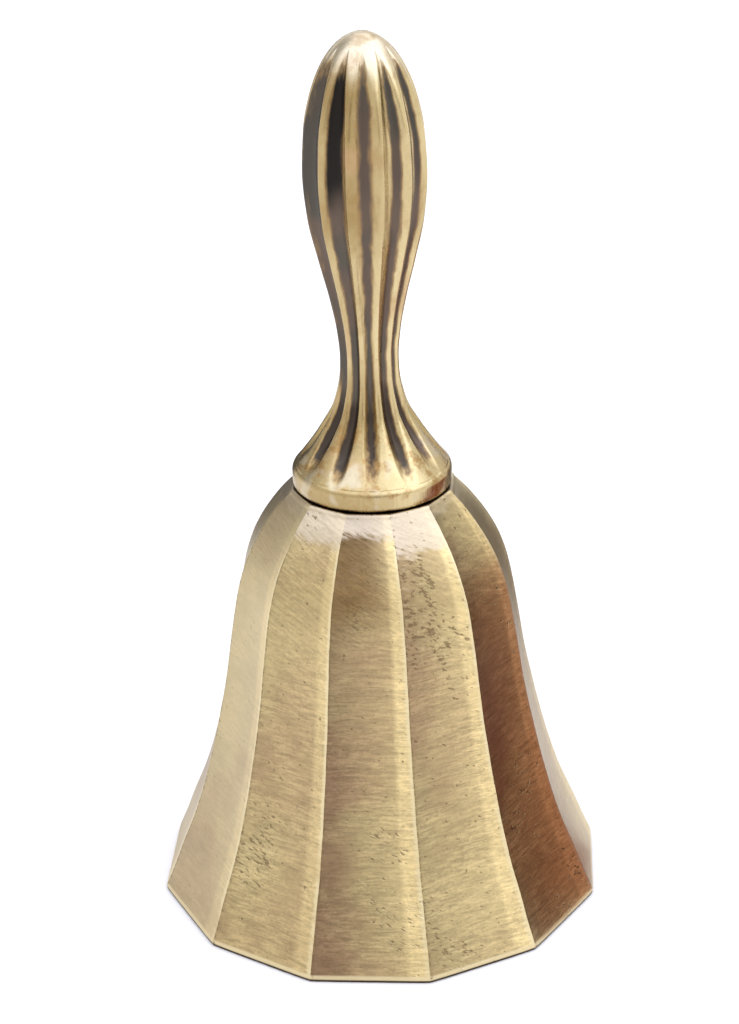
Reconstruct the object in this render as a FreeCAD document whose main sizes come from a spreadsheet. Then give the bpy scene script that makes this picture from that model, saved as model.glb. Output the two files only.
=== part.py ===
"""Twelve-sided cast brass hand bell with a fluted handle and a swinging clapper.

Frame: millimetres, +Z up, origin at the centre of the rim that the bell stands on.
The handle is clamped on the crown by a threaded stud, and the stud's forked lower end
carries the clapper on a cross pin that lies along Y.
"""

import FreeCAD, Part
import math
import os

import Sketcher

Vector = FreeCAD.Vector
Rotation = FreeCAD.Rotation
Placement = FreeCAD.Placement
Constraint = Sketcher.Constraint

# Driving dimensions in millimetres, and the count of facets.
SIZES = {
    "facets": 12,
    "crown_height": 63.4,
    "crown_bore": 2.7,
    "band_radius": 11.3,
    "band_height": 3.0,
    "band_undercut": 0.3,
    "lip_arc": 0.9,
    "waist_radius": 4.2,
    "waist_height": 82.0,
    "neck_arc": 42.0,
    "bulb_radius": 8.7,
    "bulb_height": 110.2,
    "shoulder_arc": 31.0,
    "overall_height": 128.4,
    "thread_bore": 2.5,
    "thread_depth": 16.0,
    "stud_radius": 2.45,
    "stud_reach": 14.0,
    "fork_top": 52.5,
    "fork_width": 6.8,
    "fork_depth": 7.4,
    "fork_slot": 2.4,
    "washer_radius": 6.0,
    "washer_bore": 2.65,
    "washer_thick": 1.0,
    "spring_radius": 4.5,
    "spring_thick": 1.2,
    "spring_slit": 1.0,
    "nut_corner": 4.6,
    "nut_bore": 2.5,
    "nut_thick": 4.0,
    "pivot_height": 46.5,
    "pin_radius": 1.0,
    "pin_hole": 1.02,
    "pin_head_radius": 1.8,
    "pin_head_thick": 0.7,
    "pin_tail_radius": 1.35,
    "pin_tail_thick": 0.5,
    "eye_radius": 2.5,
    "eye_bore": 1.07,
    "eye_thick": 2.0,
    "eye_gap": 0.6,
    "eye_neck": 5.6,
    "rod_radius": 1.2,
    "rod_end": 3.8,
    "ball_radius": 6.5,
    "ball_height": 12.5,
    "ball_bore": 1.25,
    "ball_flat": 3.0,
    "ball_collar": 2.0,
    "ball_nut_corner": 2.9,
    "ball_nut_thick": 1.8,
}

# Heights above the rim and the corner radius of the bell's twelve-sided section there, up to
# the crown.
SKIRT = [
    (0.0, 33.0),
    (7.0, 30.4),
    (14.0, 27.55),
    (21.0, 25.45),
    (28.0, 23.75),
    (35.0, 22.3),
    (42.0, 21.2),
    (49.0, 19.9),
    (56.0, 17.2),
    (60.5, 14.2),
    (SIZES["crown_height"], 11.7),
]

# Heights and radii of the turned inside of the bell.
CAVITY = [
    (0.0, 30.3),
    (14.0, 24.95),
    (28.0, 21.25),
    (42.0, 18.75),
    (51.0, 16.6),
    (57.0, 13.1),
    (60.2, 9.2),
]

# Height on the handle, radius of the round flute tool there, and its depth of cut.
FLUTE = [
    (68.0, 1.5, -0.5),
    (69.4, 1.5, 0.75),
    (72.0, 1.15, 0.8),
    (76.0, 0.85, 0.6),
    (82.0, 0.68, 0.5),
    (90.0, 0.8, 0.55),
    (99.0, 1.15, 0.75),
    (110.0, 1.4, 0.85),
    (118.0, 1.25, 0.8),
    (123.5, 0.9, 0.6),
    (126.6, 0.6, 0.25),
    (127.9, 0.45, -0.3),
]

# The handle's flutes come to rest this many degrees round from the bell's flats.
HANDLE_TURN = 3.7
FULL_TURN = 360
NUT_SIDES = 6

# A cut that takes less than this many cubic millimetres has missed the solid.
LEAST_CUT = 0.001
# The flutes after the first must take more than this many cubic millimetres together.
LEAST_FLUTES = 1.0
# Two heights closer than this are the same height.
SAME_HEIGHT = 1e-9

# The stack under the crown, from the inside of the crown downwards.
WASHER_BASE = f"Sizes.cavity_height_{len(CAVITY) - 1} - Sizes.washer_thick"
SPRING_BASE = WASHER_BASE + " - Sizes.spring_thick"
NUT_BASE = SPRING_BASE + " - Sizes.nut_thick"
# The small nut bears on the flat at the foot of the ball.
BALL_FOOT = "Sizes.ball_height - sqrt(Sizes.ball_radius ^ 2 - Sizes.ball_flat ^ 2)"
BALL_NUT_BASE = BALL_FOOT + " - Sizes.ball_nut_thick"

doc = FreeCAD.newDocument("HandBell")
sheet = doc.addObject("Spreadsheet::Sheet", "Sizes")


def fill_sheet():
    """Write every driving dimension and section size to its own aliased cell."""
    rows = dict(SIZES)
    for index, (height, radius) in enumerate(SKIRT):
        rows[f"skirt_height_{index}"] = height
        rows[f"skirt_radius_{index}"] = radius
    for index, (height, radius) in enumerate(CAVITY):
        rows[f"cavity_height_{index}"] = height
        rows[f"cavity_radius_{index}"] = radius
    for index, station in enumerate(FLUTE):
        rows[f"flute_radius_{index}"] = station[1]
    for line, (alias, value) in enumerate(rows.items(), start=1):
        sheet.set(f"A{line}", alias)
        sheet.set(f"B{line}", str(value))
        sheet.setAlias(f"B{line}", alias)
    doc.recompute()


def new_body(name):
    body = doc.addObject("PartDesign::Body", name)
    body.Label = name
    return body


def origin_feature(body, role):
    return next(item for item in body.Origin.OriginFeatures if item.Role == role)


def new_sketch(body, role, name, offset=Placement()):
    """A sketch on one of the body's own origin planes, moved by offset."""
    sketch = body.newObject("Sketcher::SketchObject", name)
    sketch.AttachmentSupport = [(origin_feature(body, role), "")]
    sketch.MapMode = "FlatFace"
    sketch.AttachmentOffset = offset
    return sketch


def level_sketch(body, name, height):
    """A horizontal sketch whose height is an expression in the sheet's aliases."""
    sketch = new_sketch(body, "XY_Plane", name)
    sketch.setExpression("AttachmentOffset.Base.z", height)
    return sketch


def bind(sketch, constraint, expression):
    """Add a constraint and drive its value by an expression."""
    index = sketch.addConstraint(constraint)
    label = f"size_{index}"
    sketch.renameConstraint(index, label)
    sketch.setExpression(f"Constraints.{label}", expression)


def add_circle(sketch, radius, alias):
    """A circle about the sketch's origin."""
    circle = sketch.addGeometry(Part.Circle(Vector(), Vector(0, 0, 1), radius), False)
    sketch.addConstraint(Constraint("Coincident", circle, 3, -1, 1))
    bind(sketch, Constraint("Radius", circle, radius), alias)


def add_polygon(sketch, sides, radius, alias):
    """A regular polygon about the origin, with its first side upright on the +X side."""
    half = math.pi / sides
    corners = []
    for index in range(sides):
        angle = 2 * math.pi * index / sides - half
        corners.append(Vector(radius * math.cos(angle), radius * math.sin(angle), 0))
    edges = []
    for index, corner in enumerate(corners):
        edge = Part.LineSegment(corner, corners[(index + 1) % sides])
        edges.append(sketch.addGeometry(edge, False))
    guide = sketch.addGeometry(Part.Circle(Vector(), Vector(0, 0, 1), radius), True)
    sketch.addConstraint(Constraint("Coincident", guide, 3, -1, 1))
    for index, edge in enumerate(edges):
        sketch.addConstraint(Constraint("Coincident", edge, 2, edges[(index + 1) % sides], 1))
        sketch.addConstraint(Constraint("PointOnObject", edge, 1, guide))
    for edge in edges[1:]:
        sketch.addConstraint(Constraint("Equal", edges[0], edge))
    sketch.addConstraint(Constraint("Vertical", edges[0]))
    bind(sketch, Constraint("Radius", guide, radius), alias)


def add_box(sketch, width, height, width_alias, height_alias):
    """A rectangle centred on the origin."""
    x, y = width / 2, height / 2
    corners = [Vector(-x, -y, 0), Vector(x, -y, 0), Vector(x, y, 0), Vector(-x, y, 0)]
    edges = []
    for index, corner in enumerate(corners):
        edge = Part.LineSegment(corner, corners[(index + 1) % len(corners)])
        edges.append(sketch.addGeometry(edge, False))
    for index, edge in enumerate(edges):
        sketch.addConstraint(Constraint("Coincident", edge, 2, edges[(index + 1) % len(edges)], 1))
        sketch.addConstraint(Constraint("Horizontal" if index % 2 == 0 else "Vertical", edge))
    sketch.addConstraint(Constraint("Symmetric", edges[0], 1, edges[2], 1, -1, 1))
    bind(sketch, Constraint("DistanceX", edges[0], 1, edges[0], 2, width), width_alias)
    bind(sketch, Constraint("DistanceY", edges[1], 1, edges[1], 2, height), height_alias)


def add_outline(sketch, points):
    """A closed outline of straight edges. Each point is (x, y, x expression, y expression)."""
    count = len(points)
    edges = []
    for index, point in enumerate(points):
        after = points[(index + 1) % count]
        edge = Part.LineSegment(Vector(point[0], point[1], 0), Vector(after[0], after[1], 0))
        edges.append(sketch.addGeometry(edge, False))
    for index, edge in enumerate(edges):
        sketch.addConstraint(Constraint("Coincident", edge, 2, edges[(index + 1) % count], 1))
    for edge, (x, y, x_expression, y_expression) in zip(edges, points):
        if x_expression == "0":
            sketch.addConstraint(Constraint("PointOnObject", edge, 1, -2))
        else:
            bind(sketch, Constraint("DistanceX", -1, 1, edge, 1, x), x_expression)
        bind(sketch, Constraint("DistanceY", -1, 1, edge, 1, y), y_expression)
    return edges


def pad(body, sketch, length, midplane=False):
    feature = body.newObject("PartDesign::Pad", sketch.Name + "_pad")
    feature.Profile = sketch
    feature.Midplane = midplane
    feature.setExpression("Length", length)
    sketch.Visibility = False
    return feature


def pocket(body, sketch, length, midplane=True):
    """Cut a sketch's shape out of the body, and stop if it takes nothing away."""
    doc.recompute()
    before = body.Shape.Volume
    feature = body.newObject("PartDesign::Pocket", sketch.Name + "_pocket")
    feature.Profile = sketch
    feature.Midplane = midplane
    feature.setExpression("Length", length)
    doc.recompute()
    if body.Shape.Volume > before - LEAST_CUT:
        raise RuntimeError(f"{feature.Name} cuts nothing")
    return feature


def turn_about_z(body, kind, sketch):
    """Revolve or groove an upright sketch once round the body's own Z axis."""
    feature = body.newObject(kind, sketch.Name + "_turned")
    feature.Profile = sketch
    feature.ReferenceAxis = (origin_feature(body, "Z_Axis"), [""])
    feature.Angle = FULL_TURN
    return feature


def loft(body, kind, sketches, name):
    feature = body.newObject(kind, name)
    feature.Profile = sketches[0]
    feature.Sections = sketches[1:]
    return feature


# ---------------------------------------------------------------- bell


def make_bell_body():
    """Cast skirt: a loft of regular polygons, turned out inside, bored at the crown."""
    body = new_body("bell_body")
    outside = []
    for index, station in enumerate(SKIRT):
        sketch = level_sketch(body, f"skirt_{index}", f"Sizes.skirt_height_{index}")
        add_polygon(sketch, SIZES["facets"], station[1], f"Sizes.skirt_radius_{index}")
        outside.append(sketch)
    loft(body, "PartDesign::AdditiveLoft", outside, "skirt_loft")
    inside = []
    for index, station in enumerate(CAVITY):
        sketch = level_sketch(body, f"cavity_{index}", f"Sizes.cavity_height_{index}")
        add_circle(sketch, station[1], f"Sizes.cavity_radius_{index}")
        inside.append(sketch)
    loft(body, "PartDesign::SubtractiveLoft", inside, "cavity_loft")
    bore = level_sketch(body, "crown_bore_sketch", "Sizes.crown_height")
    add_circle(bore, SIZES["crown_bore"], "Sizes.crown_bore")
    pocket(body, bore, "Sizes.crown_height / 2", midplane=False)
    return body


# ---------------------------------------------------------------- handle


def handle_arcs():
    """Centre (radius, height), arc radius and top height of each arc up the handle."""
    size = SIZES
    band_top = size["crown_height"] + size["band_height"]
    lip = size["lip_arc"]
    lip_centre = (size["band_radius"] - lip, band_top)
    waist = (size["waist_radius"], size["waist_height"])
    # The flare is tangent to the lip and upright at the waist.
    inward = lip_centre[0] - waist[0]
    rise = waist[1] - lip_centre[1]
    flare = (inward ** 2 + rise ** 2 - lip ** 2) / (2 * (lip + inward))
    flare_centre = (waist[0] + flare, waist[1])
    lip_top = band_top + lip * rise / (flare + lip)
    # The neck and the bulb meet in one tangent inflection.
    neck = size["neck_arc"]
    climb = size["bulb_height"] - waist[1]
    swell = size["bulb_radius"] - waist[0]
    both = (climb ** 2 + swell ** 2) / (2 * swell)
    bulb = both - neck
    neck_top = waist[1] + climb * neck / both
    # The nose closes on the axis, tangent to the shoulder.
    shoulder = size["shoulder_arc"]
    offset = shoulder - size["bulb_radius"]
    cap = size["overall_height"] - size["bulb_height"]
    nose = (shoulder ** 2 - offset ** 2 - cap ** 2) / (2 * (shoulder - cap))
    nose_height = size["overall_height"] - nose
    reach = shoulder - nose
    shoulder_top = size["bulb_height"] + (nose_height - size["bulb_height"]) * shoulder / reach
    return [
        (lip_centre, lip, lip_top),
        (flare_centre, -flare, waist[1]),
        ((waist[0] + neck, waist[1]), -neck, neck_top),
        ((size["bulb_radius"] - bulb, size["bulb_height"]), bulb, size["bulb_height"]),
        ((size["bulb_radius"] - shoulder, size["bulb_height"]), shoulder, shoulder_top),
        ((0.0, nose_height), nose, size["overall_height"]),
    ]


def handle_radius(height, arcs):
    """Radius of the handle at a height, and the lean of its outward normal there."""
    centre, radius, top = next(arc for arc in arcs if height <= arc[2] + SAME_HEIGHT)
    up = height - centre[1]
    across = math.sqrt(max(radius ** 2 - up ** 2, 0.0))
    if radius < 0:
        return centre[0] - across, math.atan2(-up, across)
    return centre[0] + across, math.atan2(up, across)


def draw_handle_outline(sketch, arcs):
    """The handle's half section: band, lip, flare, neck, bulb, shoulder and nose."""
    size = SIZES
    seat = size["crown_height"]
    band = size["band_radius"]
    cut = size["band_undercut"]
    band_top = seat + size["band_height"]
    corners = [(0.0, seat), (band - cut, seat), (band, seat + cut), (band, band_top)]
    edges = []
    for start, end in zip(corners, corners[1:]):
        line = Part.LineSegment(Vector(start[0], start[1], 0), Vector(end[0], end[1], 0))
        edges.append(sketch.addGeometry(line, False))
    start = Vector(band, band_top, 0)
    for centre, radius, top in arcs:
        across = handle_radius(top, arcs)[0]
        end = Vector(across, top, 0)
        low = math.atan2(start.y - centre[1], start.x - centre[0])
        high = math.atan2(end.y - centre[1], end.x - centre[0])
        if radius < 0:
            low, high = high, low
        if high < low:
            high += 2 * math.pi
        circle = Part.Circle(Vector(centre[0], centre[1], 0), Vector(0, 0, 1), abs(radius))
        edges.append(sketch.addGeometry(Part.ArcOfCircle(circle, low, high), False))
        start = end
    spine = Part.LineSegment(Vector(0, size["overall_height"], 0), Vector(0, seat, 0))
    edges.append(sketch.addGeometry(spine, False))
    bottom, under, side, lip, flare, neck, bulb, shoulder, nose, axis = edges
    sketch.addConstraint(Constraint("Horizontal", bottom))
    sketch.addConstraint(Constraint("Vertical", side))
    sketch.addConstraint(Constraint("PointOnObject", axis, 1, -2))
    sketch.addConstraint(Constraint("PointOnObject", axis, 2, -2))
    sketch.addConstraint(Constraint("Coincident", bottom, 2, under, 1))
    sketch.addConstraint(Constraint("Coincident", under, 2, side, 1))
    sketch.addConstraint(Constraint("Coincident", axis, 2, bottom, 1))
    # Concave arcs run downwards, so their first and last ends change places.
    ends = [(side, 2), (lip, 1), (lip, 2), (flare, 2), (flare, 1), (neck, 2), (neck, 1), (bulb, 1)]
    ends += [(bulb, 2), (shoulder, 1), (shoulder, 2), (nose, 1)]
    for (first, first_end), (second, second_end) in zip(ends[0::2], ends[1::2]):
        sketch.addConstraint(Constraint("Tangent", first, first_end, second, second_end))
    sketch.addConstraint(Constraint("Coincident", nose, 2, axis, 1))
    sketch.addConstraint(Constraint("PointOnObject", nose, 3, -2))
    sketch.addConstraint(Constraint("Horizontal", flare, 3, flare, 1))
    sketch.addConstraint(Constraint("Horizontal", bulb, 3, bulb, 2))
    bind(sketch, Constraint("DistanceY", -1, 1, bottom, 1, seat), "Sizes.crown_height")
    bind(sketch, Constraint("DistanceX", -1, 1, side, 1, band), "Sizes.band_radius")
    bind(sketch, Constraint("DistanceX", under, 1, under, 2, cut), "Sizes.band_undercut")
    bind(sketch, Constraint("DistanceY", under, 1, under, 2, cut), "Sizes.band_undercut")
    bind(sketch, Constraint("DistanceY", bottom, 1, side, 2, size["band_height"]),
         "Sizes.band_height")
    bind(sketch, Constraint("Radius", lip, size["lip_arc"]), "Sizes.lip_arc")
    bind(sketch, Constraint("DistanceX", -1, 1, flare, 1, size["waist_radius"]),
         "Sizes.waist_radius")
    bind(sketch, Constraint("DistanceY", -1, 1, flare, 1, size["waist_height"]),
         "Sizes.waist_height")
    bind(sketch, Constraint("Radius", neck, size["neck_arc"]), "Sizes.neck_arc")
    bind(sketch, Constraint("DistanceX", -1, 1, bulb, 2, size["bulb_radius"]),
         "Sizes.bulb_radius")
    bind(sketch, Constraint("DistanceY", -1, 1, bulb, 2, size["bulb_height"]),
         "Sizes.bulb_height")
    bind(sketch, Constraint("Radius", shoulder, size["shoulder_arc"]), "Sizes.shoulder_arc")
    bind(sketch, Constraint("DistanceY", -1, 1, axis, 1, size["overall_height"]),
         "Sizes.overall_height")


def make_handle():
    """Turned handle with twelve round flutes cut up it, drilled from below for the stud."""
    body = new_body("handle")
    arcs = handle_arcs()
    outline = new_sketch(body, "XZ_Plane", "handle_outline")
    draw_handle_outline(outline, arcs)
    turn_about_z(body, "PartDesign::Revolution", outline)
    sections = []
    for index, (height, tool, depth) in enumerate(FLUTE):
        across, lean = handle_radius(height, arcs)
        out = tool - depth
        centre = Vector(across + out * math.cos(lean), 0, height + out * math.sin(lean))
        tilt = Rotation(Vector(0, 1, 0), -math.degrees(lean))
        sketch = new_sketch(body, "XY_Plane", f"flute_{index}", Placement(centre, tilt))
        add_circle(sketch, tool, f"Sizes.flute_radius_{index}")
        sections.append(sketch)
    flute = loft(body, "PartDesign::SubtractiveLoft", sections, "flute_loft")
    doc.recompute()
    one_flute = body.Shape.Volume
    pattern = body.newObject("PartDesign::PolarPattern", "flute_pattern")
    pattern.Originals = [flute]
    pattern.Axis = (origin_feature(body, "Z_Axis"), [""])
    pattern.Angle = FULL_TURN
    pattern.setExpression("Occurrences", "Sizes.facets")
    body.Tip = pattern
    doc.recompute()
    if body.Shape.Volume > one_flute - LEAST_FLUTES:
        raise RuntimeError("the flutes are not repeated round the handle")
    bore = new_sketch(body, "XZ_Plane", "handle_bore")
    low, high = SIZES["crown_height"], SIZES["crown_height"] + SIZES["thread_depth"]
    top = "Sizes.crown_height + Sizes.thread_depth"
    add_outline(bore, [
        (0, low, "0", "Sizes.crown_height"),
        (SIZES["thread_bore"], low, "Sizes.thread_bore", "Sizes.crown_height"),
        (SIZES["thread_bore"], high, "Sizes.thread_bore", top),
        (0, high + SIZES["thread_bore"] / 2, "0", top + " + Sizes.thread_bore / 2"),
    ])
    turn_about_z(body, "PartDesign::Groove", bore)
    doc.recompute()
    body.Placement = Placement(Vector(), Rotation(Vector(0, 0, 1), HANDLE_TURN))
    return body


# ---------------------------------------------------------------- stud and fasteners


def make_hanger_stud():
    """Threaded stud, and the fork at its lower end with rounded cheeks about the pin."""
    body = new_body("hanger_stud")
    half = SIZES["fork_width"] / 2
    pivot, top = SIZES["pivot_height"], SIZES["fork_top"]
    cheek = new_sketch(body, "XZ_Plane", "fork_cheek")
    lines = [((half, pivot), (half, top)), ((half, top), (-half, top)), ((-half, top), (-half, pivot))]
    edges = []
    for start, end in lines:
        line = Part.LineSegment(Vector(start[0], start[1], 0), Vector(end[0], end[1], 0))
        edges.append(cheek.addGeometry(line, False))
    bowl = Part.Circle(Vector(0, pivot, 0), Vector(0, 0, 1), half)
    edges.append(cheek.addGeometry(Part.ArcOfCircle(bowl, math.pi, 2 * math.pi), False))
    right, lid, left, arc = edges
    cheek.addConstraint(Constraint("Coincident", right, 2, lid, 1))
    cheek.addConstraint(Constraint("Coincident", lid, 2, left, 1))
    cheek.addConstraint(Constraint("Tangent", left, 2, arc, 1))
    cheek.addConstraint(Constraint("Tangent", arc, 2, right, 1))
    cheek.addConstraint(Constraint("Horizontal", lid))
    cheek.addConstraint(Constraint("Vertical", right))
    cheek.addConstraint(Constraint("PointOnObject", arc, 3, -2))
    bind(cheek, Constraint("DistanceX", lid, 2, lid, 1, 2 * half), "Sizes.fork_width")
    bind(cheek, Constraint("DistanceY", -1, 1, arc, 3, pivot), "Sizes.pivot_height")
    bind(cheek, Constraint("DistanceY", -1, 1, lid, 1, top), "Sizes.fork_top")
    pad(body, cheek, "Sizes.fork_depth", midplane=True)
    shank = level_sketch(body, "stud_shank", "Sizes.fork_top")
    add_circle(shank, SIZES["stud_radius"], "Sizes.stud_radius")
    pad(body, shank, "Sizes.crown_height + Sizes.stud_reach - Sizes.fork_top")
    slot = new_sketch(body, "YZ_Plane", "fork_slot")
    low = pivot - SIZES["fork_width"]
    high = pivot + SIZES["eye_radius"] + SIZES["eye_gap"]
    wall = SIZES["fork_slot"] / 2
    low_text = "Sizes.pivot_height - Sizes.fork_width"
    high_text = "Sizes.pivot_height + Sizes.eye_radius + Sizes.eye_gap"
    add_outline(slot, [
        (-wall, low, "-Sizes.fork_slot / 2", low_text),
        (wall, low, "Sizes.fork_slot / 2", low_text),
        (wall, high, "Sizes.fork_slot / 2", high_text),
        (-wall, high, "-Sizes.fork_slot / 2", high_text),
    ])
    pocket(body, slot, "2 * Sizes.fork_width")
    hole = new_sketch(body, "XZ_Plane", "pin_hole")
    hole.setExpression("AttachmentOffset.Base.y", "Sizes.pivot_height")
    add_circle(hole, SIZES["pin_hole"], "Sizes.pin_hole")
    pocket(body, hole, "2 * Sizes.fork_depth")
    return body


def make_washer(name, base, outer, bore, thick):
    """A flat ring whose dimensions are given as the sheet's aliases."""
    body = new_body(name)
    ring = level_sketch(body, name + "_ring", base)
    add_circle(ring, SIZES[outer], "Sizes." + outer)
    add_circle(ring, SIZES[bore], "Sizes." + bore)
    pad(body, ring, "Sizes." + thick)
    return body


def make_spring_washer():
    """A lock washer, slit through on one side and flattened by the tight nut."""
    body = make_washer("spring_washer", SPRING_BASE, "spring_radius", "washer_bore", "spring_thick")
    slit = level_sketch(body, "spring_slit", SPRING_BASE)
    half = SIZES["spring_slit"] / 2
    reach = SIZES["washer_radius"]
    add_outline(slit, [
        (0, -half, "0", "-Sizes.spring_slit / 2"),
        (reach, -half, "Sizes.washer_radius", "-Sizes.spring_slit / 2"),
        (reach, half, "Sizes.washer_radius", "Sizes.spring_slit / 2"),
        (0, half, "0", "Sizes.spring_slit / 2"),
    ])
    pocket(body, slit, "3 * Sizes.spring_thick")
    return body


def make_nut(name, base, corner, bore, thick):
    """A hexagon nut with a plain bore that stands for its thread."""
    body = new_body(name)
    hexagon = level_sketch(body, name + "_hexagon", base)
    add_polygon(hexagon, NUT_SIDES, SIZES[corner], "Sizes." + corner)
    add_circle(hexagon, SIZES[bore], "Sizes." + bore)
    pad(body, hexagon, "Sizes." + thick)
    return body


def make_hinge_pin():
    """Cross pin along Y: a flat head on the -Y cheek and a peened tail on the +Y cheek."""
    body = new_body("hinge_pin")
    stations = [
        ("pin_shank", "pin_radius", "Sizes.fork_depth", "-Sizes.fork_depth / 2"),
        ("pin_head", "pin_head_radius", "Sizes.pin_head_thick", "Sizes.fork_depth / 2"),
        ("pin_tail", "pin_tail_radius", "Sizes.pin_tail_thick",
         "-Sizes.fork_depth / 2 - Sizes.pin_tail_thick"),
    ]
    for name, radius, length, offset in stations:
        sketch = new_sketch(body, "XZ_Plane", name)
        sketch.setExpression("AttachmentOffset.Base.y", "Sizes.pivot_height")
        sketch.setExpression("AttachmentOffset.Base.z", offset)
        add_circle(sketch, SIZES[radius], "Sizes." + radius)
        pad(body, sketch, length)
    return body


# ---------------------------------------------------------------- clapper


def make_clapper_rod():
    """Round rod whose flattened upper end is drilled as an eye for the pin."""
    body = new_body("clapper_rod")
    eye = new_sketch(body, "XZ_Plane", "eye")
    eye.setExpression("AttachmentOffset.Base.y", "Sizes.pivot_height")
    add_circle(eye, SIZES["eye_radius"], "Sizes.eye_radius")
    pad(body, eye, "Sizes.eye_thick", midplane=True)
    neck = new_sketch(body, "XZ_Plane", "eye_neck")
    neck.setExpression("AttachmentOffset.Base.y", "Sizes.pivot_height - Sizes.eye_neck / 2")
    add_box(neck, 2 * SIZES["rod_radius"], SIZES["eye_neck"], "2 * Sizes.rod_radius", "Sizes.eye_neck")
    pad(body, neck, "Sizes.eye_thick", midplane=True)
    rod = level_sketch(body, "rod", "Sizes.rod_end")
    add_circle(rod, SIZES["rod_radius"], "Sizes.rod_radius")
    pad(body, rod, "Sizes.pivot_height - Sizes.eye_neck - Sizes.rod_end")
    bore = new_sketch(body, "XZ_Plane", "eye_bore")
    bore.setExpression("AttachmentOffset.Base.y", "Sizes.pivot_height")
    add_circle(bore, SIZES["eye_bore"], "Sizes.eye_bore")
    pocket(body, bore, "2 * Sizes.eye_thick")
    return body


def make_clapper_ball():
    """Turned ball, bored through, with a flat at each end of the bore."""
    body = new_body("clapper_ball")
    half = new_sketch(body, "XZ_Plane", "ball_half")
    radius, centre, bore = SIZES["ball_radius"], SIZES["ball_height"], SIZES["ball_bore"]
    foot, collar = SIZES["ball_flat"], SIZES["ball_collar"]
    low = centre - math.sqrt(radius ** 2 - foot ** 2)
    high = centre + math.sqrt(radius ** 2 - collar ** 2)
    corners = [(collar, high), (bore, high), (bore, low), (foot, low)]
    edges = []
    for start, end in zip(corners, corners[1:]):
        line = Part.LineSegment(Vector(start[0], start[1], 0), Vector(end[0], end[1], 0))
        edges.append(half.addGeometry(line, False))
    circle = Part.Circle(Vector(0, centre, 0), Vector(0, 0, 1), radius)
    first = math.atan2(low - centre, foot)
    last = math.atan2(high - centre, collar)
    arc = half.addGeometry(Part.ArcOfCircle(circle, first, last), False)
    top, wall, bottom = edges
    half.addConstraint(Constraint("Coincident", top, 2, wall, 1))
    half.addConstraint(Constraint("Coincident", wall, 2, bottom, 1))
    half.addConstraint(Constraint("Coincident", bottom, 2, arc, 1))
    half.addConstraint(Constraint("Coincident", arc, 2, top, 1))
    half.addConstraint(Constraint("Horizontal", top))
    half.addConstraint(Constraint("Vertical", wall))
    half.addConstraint(Constraint("Horizontal", bottom))
    half.addConstraint(Constraint("PointOnObject", arc, 3, -2))
    bind(half, Constraint("DistanceY", -1, 1, arc, 3, centre), "Sizes.ball_height")
    bind(half, Constraint("Radius", arc, radius), "Sizes.ball_radius")
    bind(half, Constraint("DistanceX", -1, 1, wall, 1, bore), "Sizes.ball_bore")
    bind(half, Constraint("DistanceX", -1, 1, arc, 1, foot), "Sizes.ball_flat")
    bind(half, Constraint("DistanceX", -1, 1, arc, 2, collar), "Sizes.ball_collar")
    turn_about_z(body, "PartDesign::Revolution", half)
    return body


# ---------------------------------------------------------------- build, check and write

fill_sheet()

parts = [
    make_bell_body(),
    make_handle(),
    make_hanger_stud(),
    make_washer("flat_washer", WASHER_BASE, "washer_radius", "washer_bore", "washer_thick"),
    make_spring_washer(),
    make_nut("crown_nut", NUT_BASE, "nut_corner", "nut_bore", "nut_thick"),
    make_hinge_pin(),
    make_clapper_rod(),
    make_clapper_ball(),
    make_nut("clapper_nut", BALL_NUT_BASE, "ball_nut_corner", "ball_bore", "ball_nut_thick"),
]
doc.recompute()

for item in doc.Objects:
    if "Invalid" in item.State or "Error" in item.State:
        raise RuntimeError(f"{item.Name} failed: {item.State}")
for body in parts:
    shape = body.Shape
    if shape.isNull() or not shape.isValid() or len(shape.Solids) != 1:
        raise RuntimeError(f"{body.Label} is not one sound solid")

os.makedirs("parts", exist_ok=True)
for body in parts:
    body.Shape.exportStep(f"parts/{body.Label}.step")
    box = body.Shape.optimalBoundingBox(False, False)
    print(f"{body.Label}: volume {body.Shape.Volume:.1f}, z {box.ZMin:.2f} to {box.ZMax:.2f}, "
          f"x {box.XMin:.2f} to {box.XMax:.2f}, y {box.YMin:.2f} to {box.YMax:.2f}")
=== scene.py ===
"""Looks of the twelve-sided brass hand bell: meshes, materials, floor, light and camera."""

import math

import bpy
import numpy as np
from mathutils import Matrix, Vector


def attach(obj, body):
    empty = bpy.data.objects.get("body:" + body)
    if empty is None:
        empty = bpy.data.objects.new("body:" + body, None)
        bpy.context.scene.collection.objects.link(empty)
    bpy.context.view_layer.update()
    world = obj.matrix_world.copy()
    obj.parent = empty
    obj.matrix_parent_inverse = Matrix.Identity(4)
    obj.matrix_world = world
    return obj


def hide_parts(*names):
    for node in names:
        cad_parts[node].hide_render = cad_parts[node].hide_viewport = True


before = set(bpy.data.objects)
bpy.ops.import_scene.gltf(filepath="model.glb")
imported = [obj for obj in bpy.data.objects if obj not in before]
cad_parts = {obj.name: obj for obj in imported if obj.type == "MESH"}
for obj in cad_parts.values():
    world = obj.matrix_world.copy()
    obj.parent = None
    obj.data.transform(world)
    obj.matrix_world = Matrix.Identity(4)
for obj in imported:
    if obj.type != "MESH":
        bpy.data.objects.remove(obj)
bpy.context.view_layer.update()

MM = 0.001
FULL_TURN = 2 * math.pi
FACETS = 12
PITCH = FULL_TURN / FACETS

# The crown's flat top, which the handle stands on, in millimetres above the rim.
CROWN_TOP = 63.4
# The bell's outside: height above the rim and radius at a ridge, in millimetres.
SKIRT = [
    (0.0, 33.4), (3.5, 31.8), (7.0, 30.4), (14.0, 27.55), (21.0, 25.45), (28.0, 23.75),
    (35.0, 22.3), (42.0, 21.2), (49.0, 19.9), (53.0, 18.65), (56.0, 17.2), (60.5, 14.2),
    (CROWN_TOP, 11.7),
]
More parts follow.
